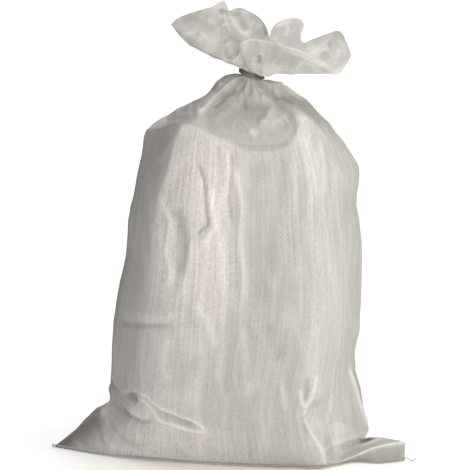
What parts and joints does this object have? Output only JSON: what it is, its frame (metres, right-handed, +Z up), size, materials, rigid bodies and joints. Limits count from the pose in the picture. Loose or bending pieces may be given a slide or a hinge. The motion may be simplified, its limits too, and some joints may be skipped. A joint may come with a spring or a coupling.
{
  "type": "rubble bag",
  "caption": "Woven plastic sack filled with rubble, standing upright, its mouth gathered and tied above the load and its lower corners spread on the floor.",
  "frame": {"origin": "on the floor, at the centre of the flat base under the load", "axes": "+Z up, +Y away from the side that shows the bottom seam, +X to the right as seen from that side, towards the bent corner"},
  "size_m": [0.5912, 0.3445, 0.7125],
  "materials": {
    "woven_plastic": "translucent white woven polypropylene tape, slightly shiny",
    "rubble": "rough broken mineral rubble, hidden inside the sack",
    "twine": "brown twisted twine, matt",
    "sewing_thread": "off-white sewing thread, matt"
  },
  "bodies": {
    "root": {"sack": "woven_plastic", "rubble_fill": "rubble", "neck_tie": "twine", "seam_thread": "sewing_thread"}
  },
  "joints": []
}
